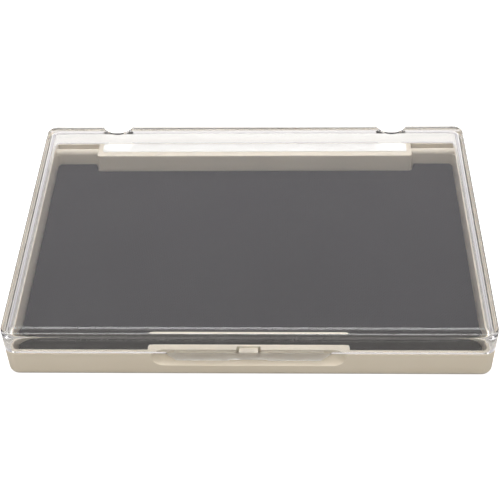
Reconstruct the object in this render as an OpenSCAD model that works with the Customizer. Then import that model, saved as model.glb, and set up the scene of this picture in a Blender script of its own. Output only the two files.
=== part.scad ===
// Hinged-lid ink pad, closed. Millimetres, +Z up, front towards -Y, hinge at +Y.
// Origin: centre of the footprint, on the resting face.

/* [Case] */
// Width across the case, left to right
body_w = 135; // [125:1:150]
// Depth of the case, front to back
body_l = 91; // [85:1:100]
// Height of the tray up to its rim
base_h = 8.95; // [8.8:0.05:9.4]
// Height of the closed case
total_h = 16.5; // [15.5:0.1:20]
// Radius of the case's vertical corners
corner_r = 3.2; // [2.6:0.1:4]
// Radius of the edge round the bottom of the tray
foot_r = 1.2; // [0.8:0.1:1.4]
// Gap between the tray's rim and the lid
seam = 0.15; // [0.1:0.05:0.3]

/* [Tray] */
// Thickness of the tray's side and front walls
wall = 1.9; // [1.7:0.1:2.2]
// Height of the tray's floor
floor_z = 1.5; // [1.3:0.1:1.6]
// Thickness of the double back wall, over both skins and the channel
back_t = 5.1; // [4.9:0.1:5.4]
// Length of the shelf behind the finger scoop
shelf_w = 55.4; // [50:0.2:60]
// Width of the finger scoop in the front face
scoop_w = 53.4; // [50:0.2:55]
// Greatest depth of the finger scoop
scoop_d = 2.2; // [1.9:0.1:2.3]
// Height at which the scoop is deepest
scoop_h = 7.4; // [7.3:0.1:7.8]
// Height of the scoop's lowest point
scoop_z = 3.9; // [3.4:0.1:4.2]

/* [Lid] */
// Thickness of the lid's walls
lid_wall = 0.9; // [0.8:0.05:1.1]
// Thickness of the lid's top plate
lid_top = 1.5; // [1.3:0.1:1.8]
// Radius of the lid's outer top edge
lid_edge = 0.8; // [0.5:0.1:1]
// Width of the thumb lip at its top
lip_w = 45.6; // [40:0.2:47]
// Height of the thumb lip's lower edge
lip_z = 6.1; // [6:0.1:6.6]

/* [Hinge] */
// Distance of the hinge arms from the middle
arm_x = 44.5; // [43:0.1:44.5]
// Width of a hinge arm
arm_w = 7.8; // [6:0.1:7.8]
// Height of the hinge axis
hinge_z = 6; // [5.8:0.1:6.1]
// Radius of the hinge pins
pin_r = 0.75; // [0.6:0.05:0.8]

/* [Hinge cover] */
// Length of the raised hinge cover
cover_w = 102.4; // [102.4:0.1:103.6]
// Height of the top of the hinge cover
cover_z = 9.75; // [9.7:0.05:10.5]
// Margin between the blank label and the edge of the cover
label_gap = 2.1; // [1.6:0.1:2.6]

/* [Pad] */
// Height of the inked surface
pad_z = 4.6; // [3.9:0.1:5]
// Gap round the pad
pad_gap = 0.4; // [0.3:0.1:0.8]

/* [Hidden] */
$fn = 64;
eps = 0.01;
hx = body_w / 2;
hy = body_l / 2;
in_x = hx - wall;                  // inner face of the side walls
in_f = -hy + wall;                 // inner face of the front wall
in_b = hy - back_t;                // inner face of the back wall
skin = 1.6;                        // inner skin of the back wall
skin_r = 1.3;                      // rounding of the inner skin's top
out_b = hy - 1.3;                  // inner face of the back wall's outer skin
well_r = 1.5;                      // corners of the pad well
shelf_y = in_f + 2.4;              // back edge of the shelf behind the scoop
lid_z = base_h + seam;             // lower edge of the lid
nose_r = 1.4;                      // rounding of the nose under the shelf's front edge
nose_y = -hy + lid_wall + 0.45;
nose_w = lip_w - 4.6;
fillet = 2.8;                      // the lid's inner corners, upright and under the plate
arm_r = 1.5;                       // eye of a hinge arm
hinge_y = hy - arm_r;              // the eyes are flush with the back face
rim_back = 0.8;                    // the lid's swing needs a rounder rim at the back
slot_w = arm_w + 0.4;
slot_z = hinge_z - 2.7;
lug_y = hinge_y - 2.4;
lug_in = 2.8;
pin_l = slot_w + lug_in + 0.8;
pin_x = arm_x - slot_w / 2 - lug_in + 0.3;
cover_f = in_b - 3.1;              // front face of the hinge cover
cover_b = out_b - 0.2;
cover_t = 1.3;
nub_w = 5.2;
nub_z0 = 6.9;
nub_z1 = 8.6;
nub_y = -hy + lid_wall + 0.15;      // the lip hangs in front of the catch
notch_w = 6.6;
board_t = 0.5;
glue_t = 0.1;
cloth_t = 0.4;

// The scoop's face is an arc that comes forward again a little below the rim.
scoop_r = (scoop_d * scoop_d + (scoop_h - scoop_z) * (scoop_h - scoop_z)) / (2 * scoop_d);
scoop_y = -hy + scoop_d - scoop_r;
scoop_end = sqrt(scoop_r * scoop_r - (scoop_r - scoop_d) * (scoop_r - scoop_d));
scoop_x = scoop_w / 2 - scoop_end;

plastic = [0.86, 0.82, 0.74];
clear = [0.93, 0.95, 0.96, 0.3];

module box(x0, x1, y0, y1, z0, z1) {
    translate([x0, y0, z0]) cube([x1 - x0, y1 - y0, z1 - z0]);
}

module rod_x(x0, x1, y, z, r) {
    translate([x0, y, z]) rotate([0, 90, 0]) cylinder(r = r, h = x1 - x0);
}

module rod_y(x, y0, y1, z, r) {
    translate([x, y0, z]) rotate([-90, 0, 0]) cylinder(r = r, h = y1 - y0);
}

// Upright block with rounded vertical corners.
module pillar(x0, x1, y0, y1, z0, z1, r) {
    box(x0 + r, x1 - r, y0, y1, z0, z1);
    box(x0, x1, y0 + r, y1 - r, z0, z1);
    for (x = [x0 + r, x1 - r], y = [y0 + r, y1 - r])
        translate([x, y, z0]) cylinder(r = r, h = z1 - z0);
}

// One layer that carries a rounded edge of radius e: up is 1 for an upper edge, -1 for a lower one.
// z is the level of the flat face and rc the radius of the upright corners.
module edge_layer(x0, x1, y0, y1, z, rc, e, up) {
    c = z - up * e;
    lo = min(z, c);
    box(x0 + rc, x1 - rc, y0 + e, y1 - e, lo, lo + e);
    box(x0 + e, x1 - e, y0 + rc, y1 - rc, lo, lo + e);
    for (y = [y0 + e, y1 - e]) rod_x(x0 + rc, x1 - rc, y, c, e);
    for (x = [x0 + e, x1 - e]) rod_y(x, y0 + rc, y1 - rc, c, e);
    for (x = [x0 + rc, x1 - rc], y = [y0 + rc, y1 - rc])
        translate([x, y, c]) {
            rotate_extrude() translate([rc - e, 0]) circle(r = e);
            translate([0, 0, lo - c]) cylinder(r = rc - e, h = e);
        }
}

// The ball-cornered hollow of the lid, open at z0.
module hollow(x, y, z0, z1, r) {
    pillar(-x, x, -y, y, z0, z1 - r, r);
    box(-x + r, x - r, -y + r, y - r, z1 - r - eps, z1);
    for (s = [-1, 1]) {
        rod_x(-x + r, x - r, s * (y - r), z1 - r, r);
        rod_y(s * (x - r), -y + r, y - r, z1 - r, r);
        for (t = [-1, 1]) translate([s * (x - r), t * (y - r), z1 - r]) sphere(r = r);
    }
}

// Finger scoop: a rod with ball ends, lying across the front face.
module scoop() {
    rod_x(-scoop_x, scoop_x, scoop_y, scoop_h, scoop_r);
    for (s = [-1, 1]) translate([s * scoop_x, scoop_y, scoop_h]) sphere(r = scoop_r, $fn = 96);
}

// Outline of the pad, shrunk by g: a rectangle less the shelf and the hinge cover.
module pad_plan(z0, z1, g) {
    x = in_x - g;
    difference() {
        pillar(-x, x, in_f + g, in_b - g, z0, z1, 1.2);
        pillar(-shelf_w / 2 - g, shelf_w / 2 + g, in_f - 5, shelf_y + g, z0 - 1, z1 + 1, 1.8);
        box(-cover_w / 2 - g, cover_w / 2 + g, cover_f - g, in_b + 5, z0 - 1, z1 + 1);
    }
}

module tray_walls() {
    edge = 0.3;
    difference() {
        union() {
            edge_layer(-hx, hx, -hy, hy, 0, corner_r, foot_r, -1);
            pillar(-hx, hx, -hy, hy, foot_r, base_h - edge, corner_r);
            edge_layer(-hx, hx, -hy, hy, base_h, corner_r, edge, 1);
        }
        // pad well
        difference() {
            pillar(-in_x, in_x, in_f, in_b, floor_z, base_h + 1, well_r);
            pillar(-shelf_w / 2, shelf_w / 2, in_f - 4, shelf_y, floor_z - 1, base_h + 2, 1.6);
        }
        // bed of the hinge cover, through the inner skin
        box(-cover_w / 2 - 0.05, cover_w / 2 + 0.05, in_b - 1, out_b, floor_z, base_h + 1);
        // channel between the two skins of the back wall
        for (s = [-1, 1]) scale([s, 1, 1])
            box(cover_w / 2, in_x - 0.4, in_b + skin, out_b, base_h - 2.8, base_h + 1);
        // rounded top of the inner skin
        difference() {
            box(-in_x, in_x, in_b - 1, in_b + skin_r, base_h - skin_r, base_h + 1);
            rod_x(-in_x - 1, in_x + 1, in_b + skin_r, base_h - skin_r, skin_r);
        }
        // the rim's back edge, cleared for the swing of the lid
        difference() {
            box(-hx - 1, hx + 1, hy - rim_back, hy + 1, base_h - rim_back, base_h + 1);
            rod_x(-hx - 2, hx + 2, hy - rim_back, base_h - rim_back, rim_back);
        }
        scoop();
        // shallow relief under the floor
        pillar(-hx + 5, hx - 5, -hy + 5, hy - 5, -1, 0.3, 2);
    }
}

// Swelling of the scoop's face behind the thumb lip.
module shelf_nose() {
    box(-nose_w / 2, nose_w / 2, nose_y, nose_y + nose_r, scoop_z + 0.4, base_h - nose_r);
    rod_x(-nose_w / 2, nose_w / 2, nose_y + nose_r, base_h - nose_r, nose_r);
}

module base_tray() {
    color(plastic) difference() {
        union() {
            tray_walls();
            shelf_nose();
            for (s = [-1, 1]) scale([s, 1, 1]) {
                box(arm_x - slot_w / 2 - lug_in, arm_x - slot_w / 2, lug_y, out_b + eps, floor_z - eps, base_h - 0.7);
                box(arm_x + slot_w / 2, cover_w / 2 - cover_t - 0.1, lug_y, out_b + eps, floor_z - eps, base_h - 0.7);
            }
        }
        // notch for the catch
        box(-notch_w / 2, notch_w / 2, -hy - 1, -hy + scoop_d + 0.9, nub_z0 - 0.4, base_h + 1);
        for (s = [-1, 1]) scale([s, 1, 1]) {
            // slot for the hinge arm, open at the back and the top
            box(arm_x - slot_w / 2, arm_x + slot_w / 2, lug_y - 1, hy + 1, slot_z, base_h + 1);
            // bore for the hinge pin
            rod_x(pin_x - 1, pin_x + pin_l + 0.3, hinge_y, hinge_z, pin_r + 0.01);
        }
    }
}

module catch_nub() {
    y1 = -hy + scoop_d + 0.9;
    color(plastic) difference() {
        box(-nub_w / 2, nub_w / 2, nub_y, y1, nub_z0 - 0.4, nub_z1);
        // sloping lead-in under the nose
        translate([0, nub_y, nub_z0 - 0.4]) rotate([45, 0, 0]) cube([nub_w + 1, 0.9, 0.9], center = true);
    }
}

// A hood over the hinge lugs, open below and behind.
module hinge_cover() {
    e = 0.35;
    rc = 0.75;
    color(plastic) difference() {
        union() {
            pillar(-cover_w / 2, cover_w / 2, cover_f, cover_b, floor_z, cover_z - e, rc);
            edge_layer(-cover_w / 2, cover_w / 2, cover_f, cover_b, cover_z, rc, e, 1);
        }
        box(-cover_w / 2 + cover_t, cover_w / 2 - cover_t, cover_f + cover_t, cover_b + 1,
            floor_z - 1, cover_z - cover_t);
    }
}

module cover_label() {
    color([0.97, 0.97, 0.96])
        pillar(-cover_w / 2 + 1.6, cover_w / 2 - 1.6, cover_f + label_gap, cover_b - 0.6,
               cover_z, cover_z + 0.12, 0.6);
}

module hinge_pin_left() {
    color(plastic) scale([-1, 1, 1]) rod_x(pin_x, pin_x + pin_l, hinge_y, hinge_z, pin_r);
}

module hinge_pin_right() {
    color(plastic) rod_x(pin_x, pin_x + pin_l, hinge_y, hinge_z, pin_r);
}

module pad_adhesive() {
    color([0.85, 0.85, 0.82]) pad_plan(floor_z, floor_z + glue_t, pad_gap + cloth_t + 2);
}

module pad_board() {
    color([0.55, 0.5, 0.42]) pad_plan(floor_z + glue_t, floor_z + glue_t + board_t, pad_gap + cloth_t);
}

module pad_felt() {
    color([0.12, 0.12, 0.13])
        pad_plan(floor_z + glue_t + board_t, pad_z - cloth_t, pad_gap + cloth_t);
}

// The cloth lies over the felt and down the edges of the pad.
module pad_cloth() {
    color([0.08, 0.08, 0.09]) difference() {
        pad_plan(floor_z + glue_t, pad_z, pad_gap);
        pad_plan(floor_z, pad_z - cloth_t, pad_gap + cloth_t);
    }
}

// Thumb lip: a panel with slanting ends, notched at the middle of its lower edge.
module thumb_lip() {
    difference() {
        translate([0, -hy + lid_wall, 0]) rotate([90, 0, 0]) linear_extrude(height = lid_wall)
            polygon([[-lip_w / 2, lid_z + eps], [-lip_w / 2 + 2.9, lip_z],
                     [lip_w / 2 - 2.9, lip_z], [lip_w / 2, lid_z + eps]]);
        box(-5.2, 5.2, -hy - 1, -hy + 2, lip_z - 1, lip_z + 0.4);
    }
}

module hinge_arm() {
    box(arm_x - arm_w / 2, arm_x + arm_w / 2, out_b, hy, hinge_z, lid_z + eps);
    rod_x(arm_x - arm_w / 2, arm_x + arm_w / 2, hinge_y, hinge_z, arm_r);
}

module lid_shell() {
    color(clear) difference() {
        union() {
            difference() {
                union() {
                    pillar(-hx, hx, -hy, hy, lid_z, total_h - lid_edge, corner_r);
                    edge_layer(-hx, hx, -hy, hy, total_h, corner_r, lid_edge, 1);
                }
                hollow(hx - lid_wall, hy - lid_wall, lid_z - 1, total_h - lid_top, fillet);
            }
            thumb_lip();
            for (s = [-1, 1]) scale([s, 1, 1]) hinge_arm();
        }
        for (s = [-1, 1]) scale([s, 1, 1]) {
            rod_x(arm_x - arm_w, arm_x + arm_w, hinge_y, hinge_z, pin_r + 0.05);
            // window in the top's back edge, over the arm
            translate([arm_x, hy + 1.2, total_h - 2.9]) cylinder(r = 5, h = 4);
        }
    }
}

base_tray();
catch_nub();
hinge_cover();
cover_label();
hinge_pin_left();
hinge_pin_right();
pad_adhesive();
pad_board();
pad_felt();
pad_cloth();
lid_shell();
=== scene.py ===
"""Looks of a hinged-lid ink pad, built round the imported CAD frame.

Metres, +Z up, front towards -Y.
"""

import math

import bmesh
import bpy
from mathutils import Matrix, Vector


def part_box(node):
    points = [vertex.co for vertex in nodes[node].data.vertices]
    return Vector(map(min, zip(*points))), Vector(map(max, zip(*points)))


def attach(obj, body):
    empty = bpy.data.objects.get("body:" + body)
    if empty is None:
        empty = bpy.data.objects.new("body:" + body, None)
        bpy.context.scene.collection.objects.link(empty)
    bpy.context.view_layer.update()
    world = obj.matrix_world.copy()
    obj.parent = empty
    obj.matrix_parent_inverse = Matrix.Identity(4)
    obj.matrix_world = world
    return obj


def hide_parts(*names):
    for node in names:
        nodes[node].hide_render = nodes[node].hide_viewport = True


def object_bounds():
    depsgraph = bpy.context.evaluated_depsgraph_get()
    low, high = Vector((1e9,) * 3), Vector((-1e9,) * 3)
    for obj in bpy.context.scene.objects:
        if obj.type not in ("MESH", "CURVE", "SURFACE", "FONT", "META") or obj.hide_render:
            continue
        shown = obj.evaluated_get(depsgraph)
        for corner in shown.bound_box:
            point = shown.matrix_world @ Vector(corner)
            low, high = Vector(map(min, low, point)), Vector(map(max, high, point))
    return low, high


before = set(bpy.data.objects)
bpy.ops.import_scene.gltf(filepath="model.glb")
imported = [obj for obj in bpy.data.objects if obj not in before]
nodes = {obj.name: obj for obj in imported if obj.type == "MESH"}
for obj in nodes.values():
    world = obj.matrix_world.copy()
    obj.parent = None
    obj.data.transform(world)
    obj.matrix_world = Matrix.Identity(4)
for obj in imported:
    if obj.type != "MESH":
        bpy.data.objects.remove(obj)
cad_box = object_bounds()
scene = bpy.context.scene
MM = 0.001


# ---------------------------------------------------------------- camera, light, floor

CAMERA_AT = Vector((0.0096, -0.2429, 0.2412))
CAMERA_YAW = -2.413  # degrees off +Y, seen from above; negative is to the left
CAMERA_DIP = 44.276  # degrees below the horizon
CAMERA_ROLL = -1.678  # degrees about the line of sight
CAMERA_CLIP = (0.01, 20.0)
LENS = 80.11  # millimetres, on a sensor this wide
SENSOR = 36.0

SOFT_BOX = (5.7, 5.7, 5.7)  # light of the overhead box, on top of the tent's
SOFT_BOX_AT = 80  # degrees above the horizon behind
SOFT_BOX_DEPTH = (23, 12)  # degrees off its middle, front to back: where it starts, where it is full
SOFT_BOX_WIDTH = (36, 24)  # the same, from side to side
TENT_LOW = (0.56, 0.545, 0.513)  # in front, round the camera
TENT_HIGH = (1.62, 1.54, 1.41)  # in front, above the camera
TENT_BACK = (0.85, 0.825, 0.86)
TENT_STOPS = [  # from the horizon behind, at 0, over the top to the horizon in front, at 1
    (0.0, TENT_BACK), (0.50, TENT_BACK), (0.60, TENT_HIGH),
    (0.70, TENT_HIGH), (0.80, TENT_LOW), (1.0, TENT_LOW),
]
TENT_SIDE = 0.32  # the tent's sides over its middle
TENT_TURN = (0.45, 0.85)  # sideways part of the direction where the sides start and are full
BACKDROP = 1.05  # what the camera sees where there is no floor

FLOOR_HALF = 3.0
FLOOR_DROP = 0.02 * MM  # under the resting face
FLOOR_ALBEDO = (0.32, 0.311, 0.298)
FLOOR_BURN = 1.0  # glow of the paper to the camera
FLOOR_BURN_BEHIND = 0.42  # the same through the lid, behind the case
BURN_EDGE = (-0.75 * MM, -0.25 * MM)  # outside the case's outline, where the glow starts and is full
BURN_FADE = 12 * MM  # length over which the glow behind the case comes in
CASE_CORNER = 3.2 * MM


def node(tree, kind, **values):
    """Adds a shader node. A value goes to the property of that name, or to the input socket."""
    n = tree.nodes.new(kind)
    for key, value in values.items():
        if hasattr(n, key):
            setattr(n, key, value)
        else:
            n.inputs[key.replace("_", " ")].default_value = value
    return n


def xyz(tree, vector):
    split = node(tree, "ShaderNodeSeparateXYZ")
    tree.links.new(vector, split.inputs[0])
    return split.outputs


def ramp(tree, fac, stops):
    r = node(tree, "ShaderNodeValToRGB")
    while len(r.color_ramp.elements) < len(stops):
        r.color_ramp.elements.new(0.5)
    for e, (pos, col) in zip(r.color_ramp.elements, stops):
        e.position, e.color = pos, (*col, 1)
    tree.links.new(fac, r.inputs[0])
    return r.outputs[0]


def map_range(tree, value, source, target, kind="LINEAR"):
    m = node(tree, "ShaderNodeMapRange", interpolation_type=kind)
    for i, v in enumerate((*source, *target), start=1):
        m.inputs[i].default_value = v
    tree.links.new(value, m.inputs[0])
    return m.outputs[0]


def maths(tree, op, a, b=None):
    m = node(tree, "ShaderNodeMath", operation=op)
    for i, v in enumerate((a, b)):
        if v is None:
            continue
        if isinstance(v, (int, float)):
            m.inputs[i].default_value = v
        else:
            tree.links.new(v, m.inputs[i])
    return m.outputs[0]


def look_matrix(yaw, dip, roll):
    """Camera axes from a heading off +Y, a dip below the horizon and a roll about the line of sight."""
    yaw, dip, roll = map(math.radians, (yaw, dip, roll))
    ahead = Vector((math.sin(yaw) * math.cos(dip), math.cos(yaw) * math.cos(dip), -math.sin(dip)))
    right = Vector((math.cos(yaw), -math.sin(yaw), 0))
    up = right.cross(ahead)
    x = right * math.cos(roll) + up * math.sin(roll)
    y = up * math.cos(roll) - right * math.sin(roll)
    return Matrix((x, y, -ahead)).transposed()


def make_camera():
    data = bpy.data.cameras.new("camera")
    data.lens, data.sensor_width = LENS, SENSOR
    data.clip_start, data.clip_end = CAMERA_CLIP
    cam = bpy.data.objects.new("camera", data)
    axes = look_matrix(CAMERA_YAW, CAMERA_DIP, CAMERA_ROLL).to_4x4()
    cam.matrix_world = Matrix.Translation(CAMERA_AT) @ axes
    scene.collection.objects.link(cam)
    scene.camera = cam


def make_world():
    """A white tent, dim round the camera and at the sides, with a bright soft box overhead."""
    world = bpy.data.worlds.new("studio")
    scene.world = world
    world.use_nodes = True
    t = world.node_tree
    t.nodes.clear()
    out = node(t, "ShaderNodeOutputWorld")
    to = xyz(t, node(t, "ShaderNodeTexCoord").outputs["Generated"])
    rise = maths(t, "ARCTAN2", to["Z"], to["Y"])  # from the horizon behind, over the top
    aside = maths(t, "ABSOLUTE", to["X"])

    tent = ramp(t, map_range(t, rise, (0.0, math.pi), (0.0, 1.0)), TENT_STOPS)
    tent_glow = node(t, "ShaderNodeBackground")
    t.links.new(tent, tent_glow.inputs["Color"])
    side = map_range(t, aside, TENT_TURN, (1.0, TENT_SIDE), "SMOOTHSTEP")
    t.links.new(side, tent_glow.inputs["Strength"])

    off = maths(t, "ABSOLUTE", maths(t, "SUBTRACT", rise, math.radians(SOFT_BOX_AT)))
    depth = [math.radians(a) for a in SOFT_BOX_DEPTH]
    width = [math.sin(math.radians(a)) for a in SOFT_BOX_WIDTH]
    deep = map_range(t, off, depth, (0.0, 1.0), "SMOOTHSTEP")
    wide = map_range(t, aside, width, (0.0, 1.0), "SMOOTHSTEP")
    box_glow = node(t, "ShaderNodeBackground", Color=(*SOFT_BOX, 1))
    t.links.new(maths(t, "MULTIPLY", deep, wide), box_glow.inputs["Strength"])

    both = node(t, "ShaderNodeAddShader")
    t.links.new(tent_glow.outputs[0], both.inputs[0])
    t.links.new(box_glow.outputs[0], both.inputs[1])
    plain = node(t, "ShaderNodeBackground", Color=(1.0, 1.0, 1.0, 1), Strength=BACKDROP)
    mix = node(t, "ShaderNodeMixShader")
    t.links.new(node(t, "ShaderNodeLightPath").outputs["Is Camera Ray"], mix.inputs[0])
    t.links.new(both.outputs[0], mix.inputs[1])
    t.links.new(plain.outputs[0], mix.inputs[2])
    t.links.new(mix.outputs[0], out.inputs[0])


def distance_outside(tree, at, half_x, half_y, corner):
    """Distance outside a rectangle with rounded corners round the origin; negative inside it."""
    squares = []
    for axis, half in (("X", half_x), ("Y", half_y)):
        over = maths(tree, "SUBTRACT", maths(tree, "ABSOLUTE", at[axis]), half - corner)
        squares.append(maths(tree, "POWER", maths(tree, "MAXIMUM", over, 0.0), 2.0))
    return maths(tree, "SUBTRACT", maths(tree, "SQRT", maths(tree, "ADD", *squares)), corner)


def make_floor():
    """A white sheet of paper, burnt out to the camera and through the clear lid."""
    bm = bmesh.new()
    bmesh.ops.create_grid(bm, x_segments=8, y_segments=8, size=FLOOR_HALF)
    floor = add_object("studio_floor", bm)
    floor.location.z = cad_box[0].z - FLOOR_DROP
    mat, t, b = material(
        "pale_floor", Base_Color=(*FLOOR_ALBEDO, 1), Roughness=0.9, Specular_IOR_Level=0.1,
        Emission_Color=(1, 1, 1, 1),
    )
    path = node(t, "ShaderNodeLightPath")
    at = xyz(t, object_coords(t))
    gap = distance_outside(t, at, cad_box[1].x, cad_box[1].y, CASE_CORNER)
    back = cad_box[1].y
    open_floor = map_range(t, gap, BURN_EDGE, (0.0, 1.0))
    far_floor = map_range(t, at["Y"], (back, back + BURN_FADE), (0.0, 1.0), "SMOOTHSTEP")
    direct = maths(t, "MULTIPLY", path.outputs["Is Camera Ray"], open_floor)
    through_lid = maths(t, "MULTIPLY", path.outputs["Is Transmission Ray"], far_floor)
    burnt = maths(t, "MULTIPLY", direct, FLOOR_BURN)
    behind = maths(t, "MULTIPLY", through_lid, FLOOR_BURN_BEHIND)
    t.links.new(maths(t, "MAXIMUM", burnt, behind), b.inputs["Emission Strength"])
    floor.data.materials.append(mat)


# ---------------------------------------------------------------- materials
# Noise scales are cycles per metre, and bump depths are metres.

LIP_DEPTH = 1.0 * MM  # the frosted thumb lip: how far it reaches behind the case's front
LIP_TOP = (9.1 * MM, 8.7 * MM)  # heights where the frosting starts and is full
LIP_FROST = 0.45  # roughness that it adds
WEAVE_PITCH = 0.52 * MM
WEAVE_WOBBLE = 0.3 * MM


def material(name, **sockets):
    """A Principled material. Socket names are written with underscores for spaces.

    A roughness given here is only a stand-in where a noise drives that socket.
    """
    mat = bpy.data.materials.new(name)
    mat.use_nodes = True
    b = mat.node_tree.nodes["Principled BSDF"]
    for key, value in sockets.items():
        b.inputs[key.replace("_", " ")].default_value = value
    return mat, mat.node_tree, b


def object_coords(tree):
    return node(tree, "ShaderNodeTexCoord").outputs["Object"]


def noise(tree, coords, scale, detail=2.0, rough=0.5):
    n = node(tree, "ShaderNodeTexNoise", Scale=scale, Detail=detail, Roughness=rough)
    tree.links.new(coords, n.inputs["Vector"])
    return n.outputs["Fac"]


def spread(tree, fac, low, high):
    """Stretches the middle of a noise over the range from low to high."""
    return map_range(tree, fac, (0.35, 0.65), (low, high))


def two_shades(tree, bsdf, fac, low, high):
    """Colours the surface between two near shades by a noise."""
    tree.links.new(ramp(tree, fac, [(0.3, low), (0.7, high)]), bsdf.inputs["Base Color"])


def bump(tree, bsdf, height, distance, strength, normal=None):
    n = node(tree, "ShaderNodeBump", Strength=strength, Distance=distance)
    tree.links.new(height, n.inputs["Height"])
    if normal is not None:
        tree.links.new(normal, n.inputs["Normal"])
    tree.links.new(n.outputs[0], bsdf.inputs["Normal"])


def case_plastic():
    """Warm cream polystyrene, satin, with a faint moulding grain and softened edges."""
    mat, t, b = material(
        "case_plastic_cream", Roughness=0.38, IOR=1.5, Subsurface_Weight=0.06,
        Subsurface_Scale=1.0, Subsurface_Radius=(1.2 * MM, 0.9 * MM, 0.6 * MM),
    )
    co = object_coords(t)
    two_shades(t, b, noise(t, co, 55, 3), (0.760, 0.690, 0.575), (0.790, 0.722, 0.610))
    t.links.new(spread(t, noise(t, co, 240, 3), 0.33, 0.46), b.inputs["Roughness"])
    soft_edge = node(t, "ShaderNodeBevel", Radius=0.22 * MM, samples=4)
    bump(t, b, noise(t, co, 3200, 2), 0.012 * MM, 0.35, soft_edge.outputs[0])
    return mat


def clear_plastic():
    """Clear polystyrene, polished, with a trace of waviness and handling haze, and a frosted lip."""
    mat, t, b = material("lid_plastic_clear", Roughness=0.02, IOR=1.57, Transmission_Weight=1.0)
    co = object_coords(t)
    two_shades(t, b, noise(t, co, 30, 2), (0.984, 0.986, 0.980), (0.993, 0.994, 0.990))
    haze = spread(t, noise(t, co, 420, 4, 0.6), 0.012, 0.035)
    at = xyz(t, co)
    in_front = maths(t, "LESS_THAN", at["Y"], cad_box[0].y + LIP_DEPTH)
    lip = maths(t, "MULTIPLY", in_front, map_range(t, at["Z"], LIP_TOP, (0.0, 1.0)))
    frost = maths(t, "MULTIPLY", lip, LIP_FROST)
    t.links.new(maths(t, "ADD", haze, frost), b.inputs["Roughness"])
    bump(t, b, noise(t, co, 90, 1), 0.01 * MM, 0.04)
    return mat


def inked_cloth():
    """Plain-weave cotton soaked in black ink: a half-millimetre weave with a damp sheen."""
    mat, t, b = material(
        "inked_cloth_black", Roughness=0.7, IOR=1.45, Specular_IOR_Level=0.25,
        Sheen_Weight=0.03, Sheen_Roughness=0.4, Sheen_Tint=(0.55, 0.55, 0.62, 1),
    )
    co = object_coords(t)
    at = xyz(t, co)
    uneven = maths(t, "SUBTRACT", noise(t, co, 300, 2), 0.5)
    wobble = maths(t, "MULTIPLY", uneven, WEAVE_WOBBLE)
    waves = []
    for axis in ("X", "Y"):
        across = maths(t, "ADD", at[axis], wobble)
        waves.append(maths(t, "SINE", maths(t, "MULTIPLY", across, math.pi / WEAVE_PITCH)))
    warp_wave, weft_wave = waves
    over = maths(t, "MULTIPLY", warp_wave, weft_wave)  # positive where the warp lies on top
    threads = node(t, "ShaderNodeMix")
    t.links.new(maths(t, "GREATER_THAN", over, 0.0), threads.inputs["Factor"])
    t.links.new(maths(t, "ABSOLUTE", weft_wave), threads.inputs[2])
    t.links.new(maths(t, "ABSOLUTE", warp_wave), threads.inputs[3])
    fuzz = maths(t, "MULTIPLY", noise(t, co, 6000, 3), 0.35)
    bump(t, b, maths(t, "ADD", threads.outputs[0], fuzz), 0.07 * MM, 0.7)
    blot = noise(t, co, 60, 3)
    two_shades(t, b, blot, (0.0040, 0.0032, 0.0046), (0.0070, 0.0058, 0.0078))
    t.links.new(spread(t, blot, 0.6, 0.76), b.inputs["Roughness"])
    return mat


def speckled(name, shades, blotch, relief, depth, strength, **sockets):
    """A matt material: blotches of two near shades, and a fine relief. Both are noises."""
    mat, t, b = material(name, **sockets)
    co = object_coords(t)
    two_shades(t, b, noise(t, co, *blotch), *shades)
    bump(t, b, noise(t, co, *relief), depth, strength)
    return mat


def felt():
    return speckled(
        "felt_black", ((0.010, 0.010, 0.012), (0.030, 0.030, 0.034)), (900, 5),
        (2500, 6, 0.7), 0.12 * MM, 0.8, Roughness=0.95, Sheen_Weight=0.4,
    )


def label_paper():
    return speckled(
        "label_paper_white", ((0.935, 0.935, 0.920), (0.955, 0.955, 0.945)), (160, 4),
        (4200, 4, 0.6), 0.01 * MM, 0.5, Roughness=0.62, IOR=1.45,
    )


def backing_board():
    return speckled(
        "backing_board_grey", ((0.20, 0.17, 0.12), (0.30, 0.26, 0.20)), (700, 5),
        (1800, 5), 0.05 * MM, 0.6, Roughness=0.9,
    )


def adhesive():
    return speckled(
        "adhesive_sheet_pale", ((0.62, 0.62, 0.58), (0.72, 0.72, 0.68)), (400, 3),
        (900, 3), 0.02 * MM, 0.5, Roughness=0.4,
    )


# ---------------------------------------------------------------- the pad

PAD_GAP = 0.4 * MM  # round the cloth, as in the CAD
PAD_CORNER = 0.9 * MM
TAB_CORNER = 0.5 * MM  # beside the shelf and the cover
SHELF_CORNER = 1.6 * MM
SHELF_HALF = 27.7 * MM
SHELF_BACK = 4.3 * MM  # the shelf's back edge, from the case's front
ARC_STEPS = 6
CLOTH_INSET = 0.15 * MM  # room for the cloth to swell into
TOP_INSET = 0.1 * MM
CLOTH_VOXEL = 0.9 * MM
CLOTH_THICK = 0.28 * MM
UNDERSIDE = 0.6 * MM  # the cloth is open below this height over its lowest point
FACES_DOWN = -0.7  # upward part of a face's normal, at most, where it counts as underside
CLOTH_FRAMES = 14
CLOTH_PRESSURE = 3.0
SWELL_UP = 0.3 * MM
SWELL_OUT = 0.2 * MM
FELT_GAP = 0.8 * MM
FELT_VOXEL = 0.8 * MM
FELT_RIPPLE = 0.04 * MM
FELT_WAVES = (900, 760)  # radians per metre, along and across


def rounded(corners):
    """A closed outline through right-angled (x, y, radius) corners, each turned into an arc."""
    pts = []
    n = len(corners)
    for i, (x, y, r) in enumerate(corners):
        p = Vector((x, y))
        a = (Vector(corners[i - 1][:2]) - p).normalized()
        c = (Vector(corners[(i + 1) % n][:2]) - p).normalized()
        centre = p + (a + c) * r
        for k in range(ARC_STEPS + 1):
            turn = k / ARC_STEPS * math.pi / 2
            pts.append(centre - (a * math.sin(turn) + c * math.cos(turn)) * r)
    return pts


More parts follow.
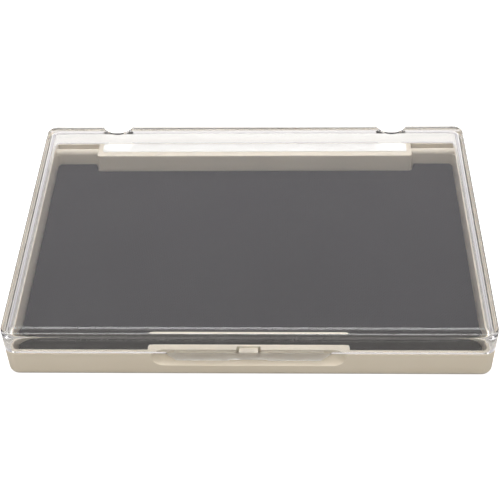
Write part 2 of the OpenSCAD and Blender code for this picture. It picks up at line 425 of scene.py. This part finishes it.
def pad_outline(lo, hi, shelf, cover, gap):
    """The pad's plan, counter-clockwise: notched for the shelf in front and the cover behind."""
    shelf_x, shelf_y = shelf[0] + gap, shelf[1] + gap
    cover_x, cover_y = cover[0] + gap, cover[1] - gap
    return rounded([
        (lo.x, lo.y, PAD_CORNER), (-shelf_x, lo.y, TAB_CORNER), (-shelf_x, shelf_y, SHELF_CORNER),
        (shelf_x, shelf_y, SHELF_CORNER), (shelf_x, lo.y, TAB_CORNER), (hi.x, lo.y, PAD_CORNER),
        (hi.x, hi.y, PAD_CORNER), (cover_x, hi.y, TAB_CORNER), (cover_x, cover_y, TAB_CORNER),
        (-cover_x, cover_y, TAB_CORNER), (-cover_x, hi.y, TAB_CORNER), (lo.x, hi.y, PAD_CORNER),
    ])


def add_object(name, bm):
    mesh = bpy.data.meshes.new(name)
    bm.to_mesh(mesh)
    bm.free()
    obj = bpy.data.objects.new(name, mesh)
    scene.collection.objects.link(obj)
    return obj


def prism(name, outline, z0, z1):
    bm = bmesh.new()
    face = bm.faces.new([bm.verts.new((p.x, p.y, z0)) for p in outline])
    for v in bmesh.ops.extrude_face_region(bm, geom=[face])["geom"]:
        if isinstance(v, bmesh.types.BMVert):
            v.co.z = z1
    bmesh.ops.recalc_face_normals(bm, faces=bm.faces)
    return add_object(name, bm)


def apply_modifiers(obj):
    dg = bpy.context.evaluated_depsgraph_get()
    mesh = bpy.data.meshes.new_from_object(obj.evaluated_get(dg), depsgraph=dg)
    old = obj.data
    obj.modifiers.clear()
    obj.data = mesh
    bpy.data.meshes.remove(old)


def remesh(obj, voxel):
    m = obj.modifiers.new("remesh", "REMESH")
    m.mode, m.voxel_size = "VOXEL", voxel
    apply_modifiers(obj)


def shade_smooth(obj):
    for p in obj.data.polygons:
        p.use_smooth = True


def swell(obj):
    """Blows the closed form up as a cloth bag and keeps each point near where it began."""
    remesh(obj, CLOTH_VOXEL)
    start = [v.co.copy() for v in obj.data.vertices]
    c = obj.modifiers.new("cloth", "CLOTH")
    s = c.settings
    s.quality = 4
    s.mass = 0.1
    s.tension_stiffness = s.compression_stiffness = 25
    s.shear_stiffness = 15
    s.bending_stiffness = 3
    s.use_pressure = True
    s.uniform_pressure_force = CLOTH_PRESSURE
    s.effector_weights.gravity = 0
    c.point_cache.frame_start, c.point_cache.frame_end = 1, CLOTH_FRAMES
    for f in range(1, CLOTH_FRAMES + 1):
        scene.frame_set(f)
    apply_modifiers(obj)
    scene.frame_set(1)
    low = min(p.z for p in start)
    for v, p in zip(obj.data.vertices, start):
        d = v.co - p
        flat = Vector((d.x, d.y))
        if flat.length > SWELL_OUT:
            flat *= SWELL_OUT / flat.length
        up = max(0.0, min(SWELL_UP, d.z)) if p.z > low + CLOTH_VOXEL else 0.0
        v.co = p + Vector((flat.x, flat.y, up))


def open_underneath(obj, below):
    """Takes off the faces that look down below the given height, where the cloth meets the board."""
    bm = bmesh.new()
    bm.from_mesh(obj.data)
    bm.normal_update()
    under = [
        f for f in bm.faces if f.normal.z < FACES_DOWN and f.calc_center_median().z < below
    ]
    bmesh.ops.delete(bm, geom=under, context="FACES")
    bm.to_mesh(obj.data)
    bm.free()


def make_pad():
    """The cloth cover and the felt under it, in the space of their CAD solids."""
    lo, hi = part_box("pad_cloth")
    tray_lo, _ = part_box("base_tray")
    cover_lo, cover_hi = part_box("hinge_cover")
    shelf = (SHELF_HALF, tray_lo.y + SHELF_BACK)
    cover = (cover_hi.x, cover_lo.y)

    inset = Vector((CLOTH_INSET, CLOTH_INSET, 0))
    outline = pad_outline(lo + inset, hi - inset, shelf, cover, PAD_GAP + CLOTH_INSET)
    cloth = prism("pad_cover_cloth", outline, lo.z, hi.z - TOP_INSET)
    swell(cloth)
    open_underneath(cloth, lo.z + UNDERSIDE)
    skin = cloth.modifiers.new("thickness", "SOLIDIFY")
    skin.thickness, skin.offset = CLOTH_THICK, -1
    soft = cloth.modifiers.new("smooth", "SUBSURF")
    soft.levels = soft.render_levels = 1
    shade_smooth(cloth)
    cloth.data.materials.append(inked_cloth())
    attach(cloth, "case")
    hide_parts("pad_cloth")

    felt_lo, felt_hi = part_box("pad_felt")
    outline = pad_outline(felt_lo, felt_hi, shelf, cover, FELT_GAP)
    core = prism("pad_core_felt", outline, felt_lo.z, felt_hi.z - TOP_INSET)
    remesh(core, FELT_VOXEL)
    for v in core.data.vertices:
        if v.co.z > (felt_lo.z + felt_hi.z) / 2:
            waves = math.sin(v.co.x * FELT_WAVES[0]) * math.sin(v.co.y * FELT_WAVES[1])
            v.co.z += (waves - 1) * FELT_RIPPLE
    shade_smooth(core)
    core.data.materials.append(felt())
    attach(core, "case")
    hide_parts("pad_felt")


# ---------------------------------------------------------------- build

scene.view_settings.view_transform = "Standard"
scene.cycles.max_bounces = 24
scene.cycles.transmission_bounces = 20
scene.cycles.glossy_bounces = 8
scene.cycles.diffuse_bounces = 5

make_camera()
make_world()
make_floor()

cream = case_plastic()
finishes = {
    "base_tray": cream,
    "catch_nub": cream,
    "hinge_cover": cream,
    "hinge_pin_left": cream,
    "hinge_pin_right": cream,
    "cover_label": label_paper(),
    "pad_adhesive": adhesive(),
    "pad_board": backing_board(),
    "lid_shell": clear_plastic(),
}
for name, mat in finishes.items():
    for s in nodes[name].material_slots:
        s.material = mat

make_pad()
